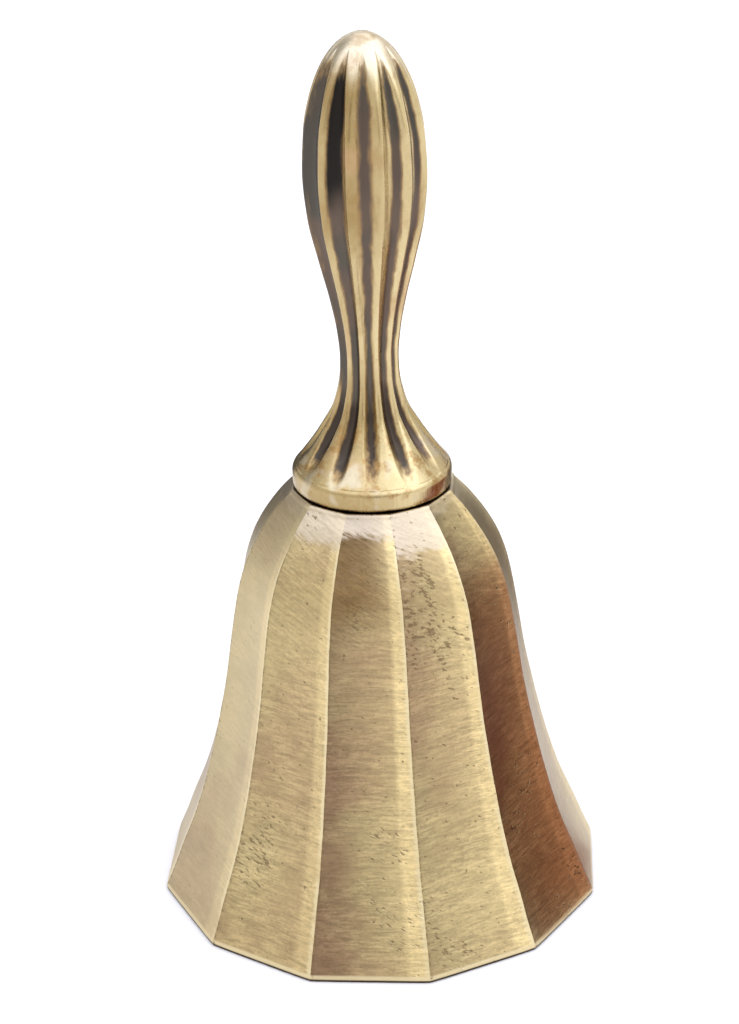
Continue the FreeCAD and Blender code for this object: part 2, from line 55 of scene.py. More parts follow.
# The bell's inside: height and radius.
CAVITY = [(0.0, 30.3), (14.0, 24.95), (28.0, 21.25), (42.0, 18.75), (51.0, 16.6),
          (57.0, 13.1), (60.2, 9.2)]
# Each facet from the one facing +X round to +Y: how pale it is at its left and at its right,
# from rubbing and partly painted reflection shading; how far polish and a painted highlight
# spread down its shoulder; how much brown is left under that; how much painted silvery
# reflection it has; and how scratched its upper left is.
FACET_WEAR = [
    (0.16, 0.80, 0.3, 0.6, 0.36, 0.0), (0.30, 0.75, 0.6, 0.2, 0.1, 0.3),
    (0.20, 0.90, 0.6, 0.7, 0.0, 0.6), (0.35, 0.80, 0.5, 0.1, 0.2, 0.2),
    (0.15, 0.85, 0.8, 0.5, 0.0, 0.8), (0.30, 0.90, 0.6, 0.8, 0.1, 0.3),
    (0.25, 0.80, 0.4, 0.2, 0.2, 0.0), (0.43, 0.60, 0.3, 0.1, 0.16, 0.0),
    (0.36, 0.66, 0.72, 0.0, 0.0, 0.1), (0.04, 0.98, 0.5, 1.0, 0.0, 0.45),
    (0.23, 1.00, 1.1, 0.2, 0.0, 1.0), (0.0, 0.98, 0.3, 0.0, 0.0, 0.0),
]
# How far the middle of a facet is hollowed, by height.
HOLLOW = [(0.0, 0.1), (8.0, 0.28), (25.0, 0.34), (45.0, 0.3), (58.0, 0.14), (CROWN_TOP, 0.0)]
# The handle above its lip: height and radius over the ribs.
HANDLE = [
    (66.63, 10.8), (67.2, 10.35), (68.2, 9.6), (69.6, 8.6), (71.7, 7.25), (75.6, 5.2), (80.3, 4.27),
    (83.0, 4.2), (86.5, 4.5), (91.4, 5.4), (97.5, 6.9), (103.5, 8.2), (109.5, 8.68),
    (114.6, 8.42), (119.3, 7.45), (123.2, 5.95), (126.0, 4.15), (127.6, 2.3), (128.25, 0.9),
]
# Flutes: height, depth, and how much of the space between two ribs' middles they take.
FLUTE = [
    (67.0, 0.25, 0.4), (69.5, 0.65, 0.5), (72.0, 0.88, 0.6), (76.0, 0.75, 0.68),
    (82.0, 0.5, 0.66), (90.0, 0.55, 0.72), (100.0, 0.75, 0.78), (110.0, 0.85, 0.78),
    (118.0, 0.8, 0.72), (123.5, 0.5, 0.52), (125.6, 0.2, 0.32), (126.8, 0.0, 0.14),
]
# How much lower the side of a rib is than its middle.
RIB_ROUND = [
    (68.0, 0.0), (72.0, 0.14), (82.0, 0.16), (100.0, 0.26), (118.0, 0.26), (127.0, 0.0),
]
# The patina left in each flute, from the one nearest +X round to +Y. Where its middle lies
# across the flute (-1 to 1) and its width, on the upper bulb and then below it; its strength;
# how black it is; how pale the ribs beside it are, from rubbing and from painted light that is
# strongest towards the front right; and how much it spills over them.
FLUTE_PATINA = [
    (-0.3, 0.3, -0.1, 0.45, 0.9, 0.3, 0.6, 0.0), (0.1, 0.5, 0.0, 0.5, 0.8, 0.5, 0.5, 0.0),
    (0.2, 0.4, 0.0, 0.5, 0.9, 0.3, 0.6, 0.0), (0.0, 0.6, 0.0, 0.55, 1.0, 0.7, 0.4, 0.0),
    (-0.2, 0.4, 0.0, 0.45, 0.8, 0.3, 0.7, 0.0), (0.0, 0.6, 0.1, 0.5, 0.9, 0.5, 0.5, 0.0),
    (0.9, 1.2, 0.9, 1.1, 1.0, 0.2, 0.3, 0.8), (-0.4, 1.3, -0.35, 1.1, 1.1, 0.2, 0.35, 0.8),
    (-0.05, 0.9, 0.0, 0.72, 1.15, 0.95, 0.15, 0.0), (0.0, 0.6, 0.0, 0.55, 0.95, 0.2, 0.3, 0.0),
    (0.25, 0.42, 0.1, 0.5, 1.1, 0.2, 0.9, 0.0), (0.3, 0.36, 0.15, 0.42, 1.0, 0.3, 0.85, 0.0),
]
# How far the handle's flutes are turned against the bell's facets.
HANDLE_TURN = math.radians(3.7)
# Degrees from -Y towards +X at which the camera stands.
CAMERA_AZIMUTH = 3.73
# The studio round the bell is of one colour with patches of light and shade: azimuth and
# elevation in degrees (azimuth 0 is towards the camera, 90 is to its right), the degrees from
# there within which a patch is full and at which it has faded out, and its colour.
ROOM_COLOUR = (1.0, 0.98, 0.95)
STUDIO = [
    (0, 90, 42, 64, (1.85, 1.95, 2.25)),
    (62, 42, 8, 30, (2.1, 2.2, 2.5)),
    (-128, 30, 6, 34, (0.5, 0.5, 0.5)),
    (8, 8, 3, 22, (0.6, 0.55, 0.5)),
]


# ------------------------------------------------------------------ curves and meshes


def smooth_curve(points):
    """A curve through (x, y, ...) points with no overshoot, as a function of one x."""
    table = np.array(points, float)
    x, values = table[:, 0], table[:, 1:]
    step = np.diff(x)[:, None]
    slope = np.diff(values, axis=0) / step
    tangent = np.zeros_like(values)
    tangent[0], tangent[-1] = slope[0], slope[-1]
    before, after = slope[:-1], slope[1:]
    near, far = step[1:] * 2 + step[:-1], step[1:] + step[:-1] * 2
    same = before * after > 0
    safe_before = np.where(same, before, 1.0)
    safe_after = np.where(same, after, 1.0)
    harmonic = (near + far) / (near / safe_before + far / safe_after)
    tangent[1:-1] = np.where(same, harmonic, 0.0)

    def at(query):
        q = min(max(float(query), x[0]), x[-1])
        i = min(max(int(np.searchsorted(x, q, side="right")) - 1, 0), len(x) - 2)
        width = step[i, 0]
        t = (q - x[i]) / width
        low = values[i] * (1 + 2 * t) * (1 - t) ** 2 + values[i + 1] * t ** 2 * (3 - 2 * t)
        bend = tangent[i] * t * (1 - t) ** 2 - tangent[i + 1] * t ** 2 * (1 - t)
        out = low + bend * width
        return float(out[0]) if len(out) == 1 else out

    return at


def between(value, start, end):
    """How far a value has come from start (0) to end (1), held at 0 and 1 outside them."""
    return np.clip((value - start) / (end - start), 0, 1)


def eased(share):
    """A number from 0 to 1 with soft ends."""
    return share * share * (3 - 2 * share)


def grid_mesh(name, points, close_rows=False, caps=()):
    """A mesh from rows of rings: points[row][column] = (x, y, z) in millimetres.

    The columns always close on themselves. close_rows joins the last ring to the first, and
    caps holds 0 or -1 for a ring that is closed with a fan to its own middle.
    """
    rows, columns = points.shape[:2]
    flat = points.reshape(-1, 3) * MM
    index = np.arange(rows * columns).reshape(rows, columns)
    lower = index if close_rows else index[:-1]
    upper = np.roll(index, -1, axis=0) if close_rows else index[1:]
    quads = np.stack(
        [lower, np.roll(lower, -1, axis=1), np.roll(upper, -1, axis=1), upper], axis=-1)
    faces = [tuple(face) for face in quads.reshape(-1, 4)]
    vertices = [tuple(v) for v in flat]
    for cap in caps:
        ring = index[cap]
        middle = len(vertices)
        vertices.append(tuple(flat[ring].mean(axis=0)))
        for a, b in zip(ring, np.roll(ring, -1)):
            faces.append((middle, b, a) if cap == 0 else (middle, a, b))
    mesh = bpy.data.meshes.new(name)
    mesh.from_pydata(vertices, [], [tuple(int(i) for i in face) for face in faces])
    mesh.polygons.foreach_set("use_smooth", [True] * len(mesh.polygons))
    mesh.update()
    obj = bpy.data.objects.new(name, mesh)
    bpy.context.scene.collection.objects.link(obj)
    return obj


def paint(obj, name, values):
    """Store one number per vertex, for a material to read. Cap vertices repeat the last."""
    data = np.zeros(len(obj.data.vertices), np.float32)
    flat = np.asarray(values, np.float32).ravel()
    data[:len(flat)] = flat
    data[len(flat):] = flat[-1]
    attribute = obj.data.attributes.new(name, "FLOAT", "POINT")
    attribute.data.foreach_set("value", data)


def arc(centre, radius, start, end, steps):
    """Points (radius from the axis, height) along an arc, angles in degrees."""
    angles = np.radians(np.linspace(start, end, steps))
    return [(centre[0] + radius * math.cos(a), centre[1] + radius * math.sin(a)) for a in angles]


# ------------------------------------------------------------------ bell


def facet_columns():
    """Angles round the bell, close together at each ridge, and the place across a facet."""
    half = np.array([0.0, 0.2, 0.4, 0.58, 0.72, 0.83, 0.9, 0.94, 0.965, 0.98, 0.99, 0.996])
    across = np.concatenate([-half[:0:-1], half, [1.0]])
    local = np.arctan(across * math.tan(PITCH / 2))
    angles = np.concatenate([local + PITCH * k for k in range(FACETS)])
    return angles, np.tile(across, FACETS)


def make_bell():
    """The cast shell as one closed skin: rim, faceted outside, crown, bore and turned inside."""
    angles, across = facet_columns()
    side = np.cos(np.arctan(across * math.tan(PITCH / 2)))
    ridge_radius = smooth_curve(SKIRT)
    hollow_depth = smooth_curve(HOLLOW)
    inner_radius = smooth_curve(CAVITY)
    apothem = math.cos(PITCH / 2)
    # Half a facet's width at a radius of 1, and how far a ridge's wear reaches for each
    # millimetre it takes off.
    half_width, wear_reach = 0.26, 11
    # Hand finishing leaves each ridge a little uneven, so it wanders by some hundredths.
    ridge = np.round(angles / PITCH + 0.5)
    near_ridge = between(np.abs(across), 0.8, 1) ** 2

    def ring(height, radius, hollow, round_off, soften):
        """One ring: facets at round_off 0, and a plain circle at round_off 1.

        hollow is how far a facet's middle is sunk, and soften how much a ridge is worn down.
        """
        flat = radius * apothem - hollow * (1 - across ** 2)
        from_ridge = (1 - np.abs(across)) * radius * half_width
        edge = np.exp(-from_ridge / (soften * wear_reach))
        faceted = flat / side - soften * edge
        r = faceted * (1 - round_off) + radius * round_off
        wander = 0.02 * np.sin(height * 0.9 + ridge * 2.3) + 0.01 * np.sin(height * 4.1 + ridge)
        turn = angles + near_ridge * wander * (1 - round_off) / radius
        return np.stack([r * np.cos(turn), r * np.sin(turn), np.full_like(r, height)], -1)

    crisp = 0.045
    rings, kinds = [], []

    def add(height, radius, hollow=0.0, round_off=0.0, kind=0.0, soften=crisp):
        """Add a ring. kind is 0 outside and 1 inside, for the material."""
        rings.append(ring(height, radius, hollow, round_off, soften))
        kinds.append(kind)

    # Rim: the round inside edge, then the flat foot, its small outer round and the land.
    for z, radius, kind in ((0.35, 30.25, 1), (0.12, 30.4, 1), (0.0, 30.7, 0.5)):
        add(z, radius, 0, 1, kind)
    foot = ridge_radius(0.75)
    for z, outward, hollow, kind, soften in (
            (0.0, -0.35, 0.05, 0.5, 0.2), (0.05, -0.12, 0.08, 0, 0.2),
            (0.16, -0.02, 0.09, 0, 0.2), (0.4, 0.03, 0.1, 0, 0.2),
            (0.6, 0.03, 0.1, 0, 0.19), (0.72, -0.02, 0.1, 0, 0.18)):
        add(z, foot + outward, hollow, 0, kind, soften)
    # Skirt and shoulder. The ridges are worn softer near the rim and near the crown.
    for z in np.concatenate([np.linspace(0.85, 48, 110), np.linspace(48.4, 62.9, 50)]):
        near_rim, near_crown = math.exp(-z / 3.5), math.exp((z - CROWN_TOP) / 2.2)
        soften = crisp + 0.13 * near_rim + 0.2 * near_crown
        add(z, ridge_radius(z), hollow_depth(z), soften=soften)
    # Crown: the rounded top edge, the flat top, the stud's hole and the ceiling inside it.
    shoulder, hole, ceiling = 63.15, 2.7, 60.2
    top = ridge_radius(shoulder)
    add(shoulder, top)
    add(63.33, top - 0.25)
    add(CROWN_TOP, top - 0.6, 0.0, 0.3)
    for r in (9.0, 6.0, hole + 0.2):
        add(CROWN_TOP, r, 0, 1)
    for z in (CROWN_TOP - 0.1, 61.8, ceiling + 0.1):
        add(z, hole, 0, 1, 1)
    for r in (hole + 0.2, 4.5, 6.5, 8.4):
        add(ceiling, r, 0, 1, 1)
    for z in np.concatenate([np.linspace(60.1, 50, 26), np.linspace(49, 0.8, 70)]):
        add(z, inner_radius(z), 0, 1, 1)
    # What the material reads: each facet's wear and painted light, from left (place 0) to
    # right (place 1).
    points = np.array(rings)
    bell = grid_mesh("bell_shell", points, close_rows=True)
    shape = points.shape[:2]
    facet = np.repeat(np.arange(FACETS), len(across) // FACETS)
    left, right, polish_and_highlight, brown, silver_reflection, scratched = np.array(FACET_WEAR)[facet].T
    place = (across + 1) / 2
    # Painted highlight: a pale strip just left of each ridge.
    rise = eased(between(place, 0.79, 0.86))
    rubbed_and_lit = left + (right - left) * (0.7 * place + 0.3 * rise) + 0.16 * rise
    brown = brown * between(place, 0.92, 0.42)
    scratched = scratched * between(place, 0.9, 0.4)
    for attribute, values in (("across", across), ("rubbed_and_lit", rubbed_and_lit), ("polish_and_highlight", polish_and_highlight),
                              ("brown", brown), ("silver_reflection", silver_reflection), ("scratched", scratched),
                              ("inside", np.array(kinds)[:, None])):
        paint(bell, attribute, np.broadcast_to(values, shape))
    return bell


# ------------------------------------------------------------------ handle


def make_handle():
    """The cast handle: plain band, rounded lip, flare, waist and bulb, with twelve flutes."""
    per_flute = 32
    columns = FACETS * per_flute
    angles = np.arange(columns) * FULL_TURN / columns
    local = (angles + PITCH / 2) % PITCH - PITCH / 2
    share = np.abs(local) / (PITCH / 2)
    rib_radius = smooth_curve(HANDLE)
    flute = smooth_curve(FLUTE)
    rib_round = smooth_curve(RIB_ROUND)
    band, lip = 11.3, 1.3
    profile = [(radius, CROWN_TOP + rise) for radius, rise in (
        (2.6, 0.0), (6.0, 0.0), (10.3, 0.0), (10.75, 0.05), (11.0, 0.2), (11.2, 0.42),
        (11.28, 0.7), (band, 1.2), (band, 1.9))]
    profile += arc((band - lip, CROWN_TOP + 2.2), lip, 5, 52, 12)
    start = HANDLE[0][0]
    heights = np.concatenate([
        np.linspace(start, 74, 56), np.linspace(74.3, 122, 100), np.linspace(122.3, 128.2, 40)])
    profile += [(rib_radius(z), z) for z in heights]
    flute_index = np.round(angles / PITCH).astype(int) % FACETS
    kept = np.array(FLUTE_PATINA)
    (top_middle, top_width, low_middle, low_width, strength, black, _,
     spill) = kept[flute_index].T
    rib_rubbed_and_lit = kept[:, 6]
    rubbed_and_lit = np.interp(angles, np.arange(FACETS + 1) * PITCH, np.append(rib_rubbed_and_lit, rib_rubbed_and_lit[0]))
    rings, depths, marks = [], [], []
    lower_end, end_length, edge_round, outside = 68.7, 2.4, 0.02, -0.7
    for radius, height in profile:
        # The flute's cut: a rounded groove, and ribs that fall off towards it.
        cut = np.zeros(columns)
        groove = np.zeros(columns)
        if height >= start:
            depth, width = flute(height)
            ending = max(0.0, (lower_end - height) / end_length)
            q = 1 - (share / width) ** 2 - ending ** 2
            groove = 0.5 * (q + np.sqrt(q ** 2 + edge_round))
            groove[q < outside] = 0
            side = between(share, 1, width)
            cut = depth * groove + rib_round(height) * side ** 2
            groove = groove * min(1.0, depth / 0.3)
        # The patina left in it, which changes place between the flare and the upper bulb.
        high = eased(between(height, 98, 112))
        middle = low_middle + (top_middle - low_middle) * high
        spread = low_width + (top_width - low_width) * high
        stray = (local / (PITCH / 2) - middle) / spread
        ends = between(height, 66.8, 70.4) * max(0.1, between(height, 126.5, 121.5))
        held = np.maximum(between(groove, 0, 0.5), spill * between(height, 75, 82))
        marks.append(strength * np.exp(-1.4 * stray ** 2) * held * ends)
        depths.append(groove)
        r = radius - cut
        rings.append(np.stack([r * np.cos(angles + HANDLE_TURN), r * np.sin(angles + HANDLE_TURN),
                               np.full(columns, height)], -1))
    handle = grid_mesh("handle_casting", np.array(rings), caps=(0, -1))
    for attribute, values in (("groove", np.array(depths)), ("patina", np.array(marks)),
                              ("black", black), ("rubbed_and_lit", rubbed_and_lit)):
        paint(handle, attribute, np.broadcast_to(values, (len(profile), columns)))
    return handle


# ------------------------------------------------------------------ nuts


def make_nut(name, corner, bore, low, high):
    """A hexagon nut, its corners chamfered round at both ends, with a thread in its bore."""
    sides, per_side = 6, 16
    half = math.pi / sides
    angles = np.arange(sides * per_side) * FULL_TURN / (sides * per_side)
    local = (angles + half) % (2 * half) - half
    flat = corner * math.cos(half)
    hexagon = flat / np.cos(local)
    chamfer_start, chamfer_slope = flat * 0.965, 1.7
    pitch, depth, steps_per_turn = bore * 0.32, bore * 0.1, 8
    entry, thread_inset = bore + 0.2, 0.2
    face = np.full_like(angles, flat * 0.7)
    rises = [0.0, 0.06, 0.14, 0.25, 0.4, 0.6]
    rings = []

    def add(radius, height):
        rings.append(np.stack([radius * np.cos(angles), radius * np.sin(angles),
                               np.full_like(angles, height)], -1))

    add(face, low)
    for rise in rises:
        add(np.minimum(hexagon, chamfer_start + rise * chamfer_slope), low + rise)
    for rise in reversed(rises):
        add(np.minimum(hexagon, chamfer_start + rise * chamfer_slope), high - rise)
    add(face, high)
    add(entry, high)
    for height in np.arange(high - thread_inset, low + 0.15, -pitch / steps_per_turn):
        turn = (height / pitch - angles / FULL_TURN) % 1
        add(bore + depth * (1 - np.abs(2 * turn - 1)), height)
    add(entry, low)
    return grid_mesh(name, np.array(rings), close_rows=True)


# ------------------------------------------------------------------ materials

# Colours in linear light: the bell's outside, its inside, the handle, the steel and the ball.
RUBBED_AND_LIT_BRASS = (0.76, 0.60, 0.305)
WARM_PATINA = (0.27, 0.175, 0.10)
GREEN_PATINA = (0.24, 0.19, 0.095)
DULL_BRASS = (0.42, 0.32, 0.17)
SILVERY_REFLECTION = (0.64, 0.60, 0.47)
CASTING_SKIN = (0.24, 0.15, 0.062)
DARK_SKIN = (0.16, 0.10, 0.042)
POLISHED_SHOULDER_HIGHLIGHT = (0.585, 0.495, 0.38)
GRIME_AND_SHADE = (0.15, 0.10, 0.05)
FRESH_SCRATCH = (0.80, 0.70, 0.48)
WORN_AND_LIT_RIDGE = (0.76, 0.65, 0.40)
SEAM_AND_FOOT_SHADOW = (0.04, 0.022, 0.012)
INSIDE = (0.42, 0.30, 0.15)
INSIDE_TARNISH = (0.20, 0.14, 0.085)
RIB = (0.34, 0.235, 0.095)
RUBBED_AND_LIT_RIB = (0.66, 0.535, 0.29)
COPPERY_RIB = (0.52, 0.34, 0.185)
PALE_DOME_HIGHLIGHT = (0.75, 0.67, 0.52)
DOME_FLECK = (0.36, 0.24, 0.11)
FLUTE_BROWN = (0.29, 0.18, 0.08)
FLUTE_WARM = (0.135, 0.098, 0.073)
FLUTE_COOL = (0.098, 0.086, 0.068)
FLUTE_BLACK = (0.012, 0.010, 0.009)
FLARE_BLACK = (0.045, 0.030, 0.021)
FLARE_STAIN = (0.36, 0.21, 0.075)
FLARE_HIGHLIGHT = (0.58, 0.50, 0.35)
UNDER_BAND_SHADOW = (0.03, 0.018, 0.012)
STEEL = (0.52, 0.51, 0.48)
STEEL_STAIN = (0.28, 0.22, 0.15)
BALL_BRASS = (0.62, 0.46, 0.2)
BALL_TARNISH = (0.36, 0.25, 0.12)


class Shader:
    """A small helper that adds nodes to one material and links them in order."""

    def __init__(self, name):
        self.material = bpy.data.materials.new(name)
        self.material.use_nodes = True
        self.tree = self.material.node_tree
        self.tree.nodes.clear()
        self.surface = self.add("ShaderNodeBsdfPrincipled")
        out = self.add("ShaderNodeOutputMaterial")
        self.link(self.surface.outputs[0], out.inputs["Surface"])

    def add(self, kind, **settings):
        node = self.tree.nodes.new(kind)
        for key, value in settings.items():
            setattr(node, key, value)
        return node

    def link(self, source, target):
        self.tree.links.new(source, target)

    def put(self, target, value):
        """Link a socket, or set a plain value."""
        if isinstance(value, bpy.types.NodeSocket):
            self.link(value, target)
        else:
            target.default_value = value

    def place(self):
        """The object's own coordinates, in metres."""
        return self.add("ShaderNodeTexCoord").outputs["Object"]

    def stretched(self, scale, turn=(0, 0, 0)):
        """The object's coordinates, turned and then scaled."""
        turned_place = self.add("ShaderNodeMapping")
        self.link(self.place(), turned_place.inputs["Vector"])
        turned_place.inputs["Rotation"].default_value = turn
        node = self.add("ShaderNodeMapping")
        self.link(turned_place.outputs[0], node.inputs["Vector"])
        node.inputs["Scale"].default_value = scale
        return node.outputs[0]

    def noise(self, scale, vector=None, detail=3.0, roughness=0.55, distortion=0.0):
        node = self.add("ShaderNodeTexNoise")
        self.link(vector or self.place(), node.inputs["Vector"])
        node.inputs["Scale"].default_value = scale
        node.inputs["Detail"].default_value = detail
        node.inputs["Roughness"].default_value = roughness
        node.inputs["Distortion"].default_value = distortion
        return node.outputs["Fac"]

    def attribute(self, name):
        return self.add("ShaderNodeAttribute", attribute_name=name).outputs["Fac"]

    def math(self, operation, a, b):
        node = self.add("ShaderNodeMath", operation=operation)
        for socket, value in zip(node.inputs, (a, b)):
            self.put(socket, value)
        return node.outputs[0]

    def plus(self, a, b):
        return self.math("ADD", a, b)

    def minus(self, a, b):
        return self.math("SUBTRACT", a, b)

    def times(self, a, b):
        return self.math("MULTIPLY", a, b)

    def larger(self, a, b):
        return self.math("MAXIMUM", a, b)

    def span(self, value, low, high, to_low=0.0, to_high=1.0, smooth=True):
        """Map low..high onto to_low..to_high. Values outside are held at the ends."""
        node = self.add("ShaderNodeMapRange")
        node.interpolation_type = "SMOOTHSTEP" if smooth else "LINEAR"
        self.put(node.inputs["Value"], value)
        for key, number in (("From Min", low), ("From Max", high), ("To Min", to_low),
                            ("To Max", to_high)):
            node.inputs[key].default_value = number
        return node.outputs["Result"]

    def sway(self, noise, amount):
        """A noise turned into a number that wanders between -amount and amount."""
        return self.span(noise, 0.3, 0.7, -amount, amount)

    def mix(self, factor, a, b, blend="MIX"):
        node = self.add("ShaderNodeMix", data_type="RGBA", blend_type=blend)
        self.put(node.inputs["Factor"], factor)
        colours = [socket for socket in node.inputs if socket.type == "RGBA"]
        self.put(colours[0], a if isinstance(a, bpy.types.NodeSocket) else (*a, 1.0))
        self.put(colours[1], b if isinstance(b, bpy.types.NodeSocket) else (*b, 1.0))
        return next(socket for socket in node.outputs if socket.type == "RGBA")

    def blend(self, factor, a, b):
        """One number between a and b."""
        node = self.add("ShaderNodeMix", data_type="FLOAT")
        numbers = [socket for socket in node.inputs if socket.type == "VALUE"]
        for socket, value in zip(numbers, (factor, a, b)):
            self.put(socket, value)
        return node.outputs[0]

    def grey(self, value):
        """A colour with one number in all three channels."""
        node = self.add("ShaderNodeCombineColor")
        for socket in node.inputs[:3]:
            self.put(socket, value)
        return node.outputs[0]

    def height(self):
        """Metres above the rim's plane."""
        node = self.add("ShaderNodeSeparateXYZ")
        self.link(self.place(), node.inputs[0])
        return node.outputs["Z"]

    def bump(self, height, strength, distance):
        node = self.add("ShaderNodeBump")
        node.inputs["Strength"].default_value = strength
        node.inputs["Distance"].default_value = distance
        self.link(height, node.inputs["Height"])
        return node.outputs[0]

    def finish(self, colour, roughness, normal=None, metallic=1.0):
        """Set the surface and return the material."""
        self.put(self.surface.inputs["Base Color"], colour)
        self.put(self.surface.inputs["Roughness"], roughness)
        self.put(self.surface.inputs["Metallic"], metallic)
        if normal is not None:
            self.link(normal, self.surface.inputs["Normal"])
        return self.material


def brushed_brass():
    """The bell's outside: antiqued brass with short brush strokes, scratches and pits."""
    s = Shader("brushed_antique_brass")
    # Heights in metres over which one look gives way to the next.
    brown_from, dark_skin_from = (0.047, 0.054), (0.054, 0.0605)
    polish_and_highlight_from, slant_from = (0.0624, 0.0635), (0.036, 0.052)
    scratched_from, ridges_end = (0.03, 0.048), (0.061, 0.058)
    land_end, foot_end, seam_from = (0.0012, 0.0009), (0.0006, 0.0003), (0.06333, 0.0634)
    height = s.height()
    strokes = s.noise(1.0, s.stretched((380, 380, 2700)), detail=4, roughness=0.75, distortion=0.4)
    slant = s.noise(1.0, s.stretched((330, 330, 2900), (0, -0.45, 0)), detail=4, roughness=0.7)
    speck = s.noise(2300, detail=2, roughness=0.6)
    mottle = s.noise(150, detail=4, roughness=0.65, distortion=0.5)
    cloud = s.noise(42, detail=3)
    across = s.attribute("across")
    # Each facet is paler towards one ridge and keeps its patina by the other: partly rubbed wear,
    # partly painted reflection shading.
    rubbed_and_lit = s.plus(s.attribute("rubbed_and_lit"), s.sway(cloud, 0.15))
    rubbed_and_lit = s.plus(rubbed_and_lit, s.sway(mottle, 0.07))
    patina = s.mix(s.span(cloud, 0.4, 0.6), WARM_PATINA, GREEN_PATINA)
    colour = s.mix(s.span(rubbed_and_lit, 0.0, 1.0, smooth=False), patina, RUBBED_AND_LIT_BRASS)
    colour = s.mix(s.span(mottle, 0.45, 0.75, 0.0, 0.3), colour, DULL_BRASS)
    # Painted reflection: a silvery sheen on some facets, most on the one facing +X.
    colour = s.mix(s.attribute("silver_reflection"), colour, SILVERY_REFLECTION)
    # Brown casting skin is left high on the facet.
    patch = s.times(s.span(height, *brown_from), s.attribute("brown"))
    patch = s.times(patch, s.span(mottle, 0.25, 0.6, 0.5, 1.0))
    skin = s.mix(s.span(height, *dark_skin_from), CASTING_SKIN, DARK_SKIN)
    colour = s.mix(patch, colour, skin)
    # The shoulder under the handle is polished and carries a painted highlight, nearly white, down
    # to a ragged edge.
    reach = s.plus(height, s.sway(mottle, 0.0007))
    reach = s.plus(reach, s.span(slant, 0.35, 0.65, -0.0004, 0.0004))
    polish_and_highlight = s.attribute("polish_and_highlight")
    reach = s.plus(reach, s.times(polish_and_highlight, 0.004))
    pale_highlight = s.times(s.span(reach, *polish_and_highlight_from), s.span(polish_and_highlight, 0.2, 0.45, 0, 0.7))
    colour = s.mix(pale_highlight, colour, POLISHED_SHOULDER_HIGHLIGHT)
    # Strokes run round the bell low down and slant across it above.
    upper = s.span(s.plus(height, s.sway(cloud, 0.012)), *slant_from)
    crossed = s.plus(s.times(slant, 0.7), s.times(strokes, 0.3))
    grain = s.blend(upper, strokes, crossed)
    grain = s.plus(s.times(grain, 0.78), s.times(speck, 0.22))
    lines = s.span(grain, 0.4, 0.6, 0.72, 1.2, smooth=False)
    sweeps = s.noise(1.0, s.stretched((70, 70, 900)), detail=2)
    lines = s.times(lines, s.span(sweeps, 0.3, 0.7, 0.9, 1.08, smooth=False))
    # The facets with the painted silvery reflection show fewer strokes, as if worn smooth.
    texture = s.span(s.attribute("silver_reflection"), 0.0, 0.16, 1.0, 0.4, smooth=False)
    shown = s.times(s.span(mottle, 0.3, 0.65, 0.55, 1.0), s.span(pale_highlight, 0, 0.7, 1, 0.5))
    shown = s.times(shown, texture)
    colour = s.mix(shown, colour, s.mix(1.0, colour, s.grey(lines), blend="MULTIPLY"))
    # Short nicks and scratches, thick in some places and rare in others.
    nicks = s.noise(1.0, s.stretched((850, 850, 2400), (0, -0.5, 0)), detail=2, roughness=0.55)
    scratched = s.times(s.attribute("scratched"), s.span(height, *scratched_from))
    area = s.plus(s.noise(85, detail=2), s.span(texture, 0.4, 1, -0.12, -0.04))
    area = s.plus(area, s.times(scratched, 0.2))
    thick = s.span(area, 0.5, 0.66, -0.03, 0.1)
    thick = s.minus(thick, s.times(pale_highlight, 0.12))
    dark_nicks = s.span(s.plus(nicks, thick), 0.64, 0.72)
    light_nicks = s.span(s.minus(nicks, thick), 0.33, 0.25)
    pits = s.span(s.noise(1100, detail=1, roughness=0.4), 0.74, 0.8)
    marks = s.larger(dark_nicks, pits)
    marks = s.times(marks, texture)
    colour = s.mix(s.times(marks, 0.68), colour, GRIME_AND_SHADE)
    colour = s.mix(s.times(light_nicks, 0.1), colour, FRESH_SCRATCH)
    # The right flank of each ridge and the land round the rim are bright: partly worn, partly a
    # painted highlight.
    ragged = s.plus(across, s.sway(strokes, 0.02))
    flank = s.times(s.span(ragged, 0.88, 0.97), s.span(mottle, 0.3, 0.55, 0.2, 0.8))
    flank = s.times(flank, s.span(height, *ridges_end))
    land = s.times(s.span(height, *land_end), 0.8)
    colour = s.mix(s.larger(flank, land), colour, WORN_AND_LIT_RIDGE)
    # Dark grains beside the ridges, where each facet starts: partly grime, partly painted shade.
    beside = s.times(s.span(across, -0.93, -0.985), s.span(speck, 0.46, 0.58))
    beside = s.times(beside, s.span(height, *ridges_end, 0, 0.7))
    colour = s.mix(beside, colour, GRIME_AND_SHADE)
    # Painted shadow: the foot's very edge, where it meets the floor, and the seam under the handle
    # are dark.
    foot = s.span(height, *foot_end)
    seam = s.span(height, *seam_from)
    colour = s.mix(s.larger(foot, seam), colour, SEAM_AND_FOOT_SHADOW)
    # The strokes stand up, the nicks are cut in and the whole surface is slightly uneven.
    relief = s.minus(grain, s.times(marks, 0.9))
    relief = s.plus(relief, s.times(light_nicks, 0.25))
    relief = s.plus(relief, s.times(mottle, 0.6))
    normal = s.bump(relief, 0.62, 0.00012)
    rough = s.minus(s.span(grain, 0.25, 0.75, 0.34, 0.46, smooth=False), s.times(pale_highlight, 0.06))
    return s.finish(colour, rough, normal)


def inside_brass():
    """The bell's turned inside: duller brass with fine tool marks and dark tarnish."""
    s = Shader("inside_tarnished_brass")
    rings = s.noise(1.0, s.stretched((120, 120, 2600)), detail=2)
    blotch = s.noise(70, detail=4, roughness=0.65, distortion=0.6)
    colour = s.mix(s.span(blotch, 0.35, 0.7), INSIDE, INSIDE_TARNISH)
    colour = s.mix(1.0, colour, s.grey(s.span(rings, 0.3, 0.7, 0.8, 1.1)), blend="MULTIPLY")
    normal = s.bump(rings, 0.4, 0.00015)
    return s.finish(colour, s.span(blotch, 0.3, 0.7, 0.42, 0.62), normal)


